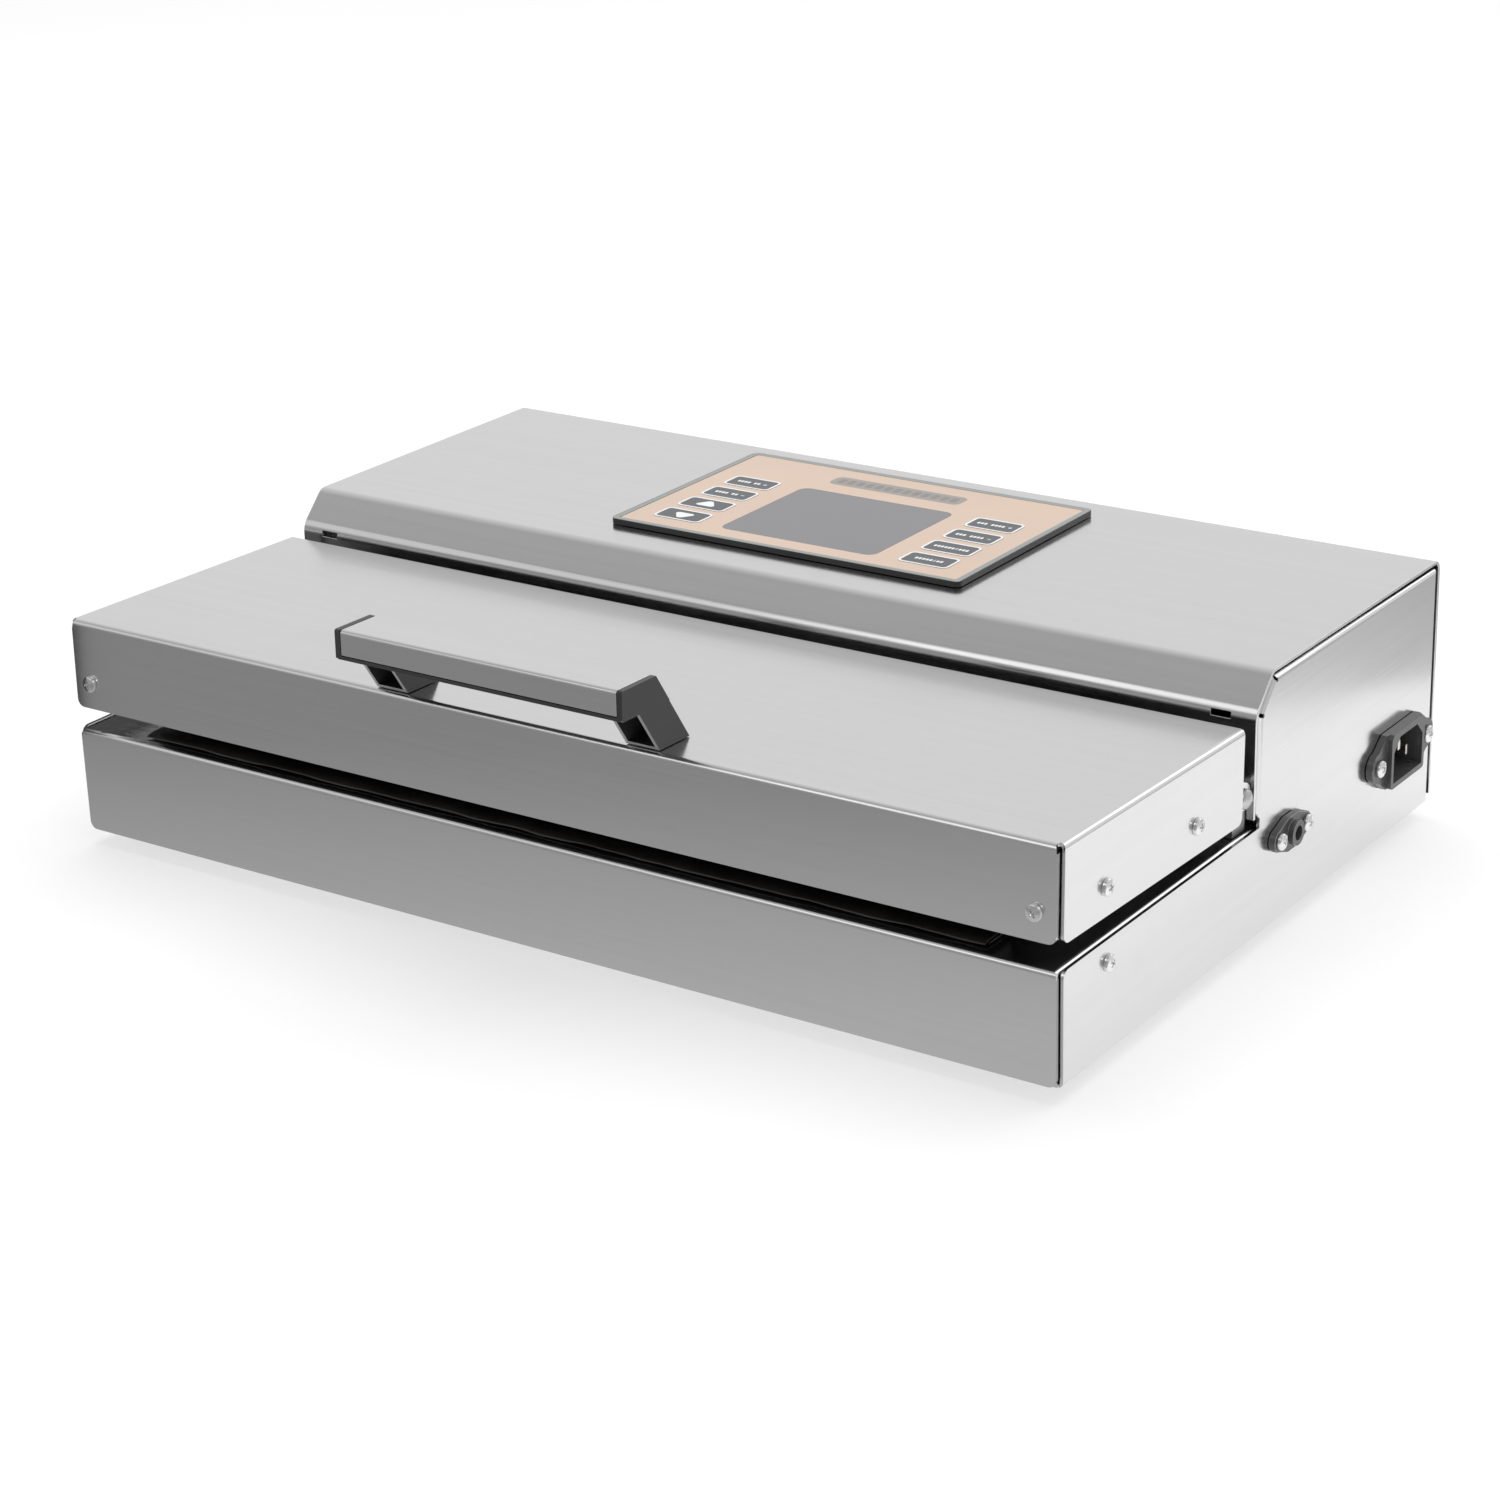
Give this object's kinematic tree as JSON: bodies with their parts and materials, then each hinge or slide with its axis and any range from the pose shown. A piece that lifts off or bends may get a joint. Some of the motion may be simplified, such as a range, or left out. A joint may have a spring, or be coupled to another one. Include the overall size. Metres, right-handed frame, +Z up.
{
  "type": "vacuum sealer",
  "caption": "External vacuum sealer with a hinged sealing lid and front handle over a vacuum tray and seal bar, and a rear housing with a keypad, a mains inlet and an accessory port.",
  "frame": {"origin": "on the surface the feet stand on, under the middle of the bounding box with the lid at its resting tilt", "axes": "+X to the right along the lid and hinge, +Y back from the handle to the housing, +Z up"},
  "size_m": [0.4228, 0.2924, 0.1155],
  "materials": {
    "steel_sheet": "brushed, satin",
    "dark_steel": "dull, zinc-dark",
    "fastener_steel": "bright nickel",
    "black_plastic": "fine moulded grain",
    "rubber": "matt",
    "gasket_foam": "open-cell foam",
    "sealing_tape": "woven, coated",
    "heating_alloy": "satin strip",
    "pin_plating": "plated",
    "panel_film": "satin printed film, copper",
    "key_film": "satin printed film, dark grey",
    "display_lens": "glossy tinted lens",
    "circuit_board": "solder mask",
    "cast_aluminium": "as cast",
    "copper_wire": "enamelled winding",
    "clear_hose": "milky silicone"
  },
  "bodies": {
    "base": {"base_pan": "steel_sheet", "front_deck": "steel_sheet", "rear_cover": "steel_sheet", "vacuum_tray": "steel_sheet", "hinge_bracket_left": "dark_steel", "hinge_bracket_right": "dark_steel", "pump_motor": "dark_steel", "transformer_core": "dark_steel", "release_valve": "dark_steel", "base_screw_left": "fastener_steel", "base_screw_right": "fastener_steel", "inlet_screw_front": "fastener_steel", "inlet_screw_rear": "fastener_steel", "port_screw_front": "fastener_steel", "port_screw_rear": "fastener_steel", "seal_bar": "black_plastic", "panel_bezel": "black_plastic", "inlet_socket": "black_plastic", "vacuum_port": "black_plastic", "foot_front_left": "rubber", "foot_front_right": "rubber", "foot_rear_left": "rubber", "foot_rear_right": "rubber", "lower_gasket": "gasket_foam", "sealing_tape": "sealing_tape", "heating_element": "heating_alloy", "inlet_pin_earth": "pin_plating", "inlet_pin_line": "pin_plating", "inlet_pin_neutral": "pin_plating", "panel_overlay": "panel_film", "display_window": "display_lens", "control_board": "circuit_board", "power_board": "circuit_board", "pump_body": "cast_aluminium", "transformer_coil": "copper_wire", "chamber_hose": "clear_hose", "port_hose": "clear_hose"},
    "lid": {"lid_shell": "steel_sheet", "lid_plate": "steel_sheet", "handle_cover": "steel_sheet", "lid_front_screw_left": "fastener_steel", "lid_front_screw_right": "fastener_steel", "lid_side_screw_front_left": "fastener_steel", "lid_side_screw_front_right": "fastener_steel", "lid_side_screw_rear_left": "fastener_steel", "lid_side_screw_rear_right": "fastener_steel", "hinge_pin_left": "fastener_steel", "hinge_pin_right": "fastener_steel", "handle_frame": "black_plastic", "pressure_strip": "rubber", "upper_gasket": "gasket_foam"},
    "fan": {"motor_fan": "black_plastic"},
    "key_left_1": {"key_left_1": "key_film"},
    "key_left_2": {"key_left_2": "key_film"},
    "key_left_3": {"key_left_3": "key_film"},
    "key_left_4": {"key_left_4": "key_film"},
    "key_right_1": {"key_right_1": "key_film"},
    "key_right_2": {"key_right_2": "key_film"},
    "key_right_3": {"key_right_3": "key_film"},
    "key_right_4": {"key_right_4": "key_film"}
  },
  "joints": [
    {"name": "lid_hinge", "type": "hinge", "parent": "base", "child": "lid", "pos_m": [-0.0014, -0.00379, 0.0593], "axis": [-1, 0, 0], "range_deg": [-1.4, 17]},
    {"name": "fan_spin", "type": "hinge", "parent": "base", "child": "fan", "pos_m": [-0.1197, 0.07591, 0.051], "axis": [1, 0, 0], "continuous": true},
    {"name": "key_left_1_press", "type": "slide", "parent": "base", "child": "key_left_1", "axis": [0, 0, -1], "range_m": [0, 0.0004], "stiffness_N_per_m": 800},
    {"name": "key_left_2_press", "type": "slide", "parent": "base", "child": "key_left_2", "axis": [0, 0, -1], "range_m": [0, 0.0004], "stiffness_N_per_m": 800},
    {"name": "key_left_3_press", "type": "slide", "parent": "base", "child": "key_left_3", "axis": [0, 0, -1], "range_m": [0, 0.0004], "stiffness_N_per_m": 800},
    {"name": "key_left_4_press", "type": "slide", "parent": "base", "child": "key_left_4", "axis": [0, 0, -1], "range_m": [0, 0.0004], "stiffness_N_per_m": 800},
    {"name": "key_right_1_press", "type": "slide", "parent": "base", "child": "key_right_1", "axis": [0, 0, -1], "range_m": [0, 0.0004], "stiffness_N_per_m": 800},
    {"name": "key_right_2_press", "type": "slide", "parent": "base", "child": "key_right_2", "axis": [0, 0, -1], "range_m": [0, 0.0004], "stiffness_N_per_m": 800},
    {"name": "key_right_3_press", "type": "slide", "parent": "base", "child": "key_right_3", "axis": [0, 0, -1], "range_m": [0, 0.0004], "stiffness_N_per_m": 800},
    {"name": "key_right_4_press", "type": "slide", "parent": "base", "child": "key_right_4", "axis": [0, 0, -1], "range_m": [0, 0.0004], "stiffness_N_per_m": 800}
  ]
}
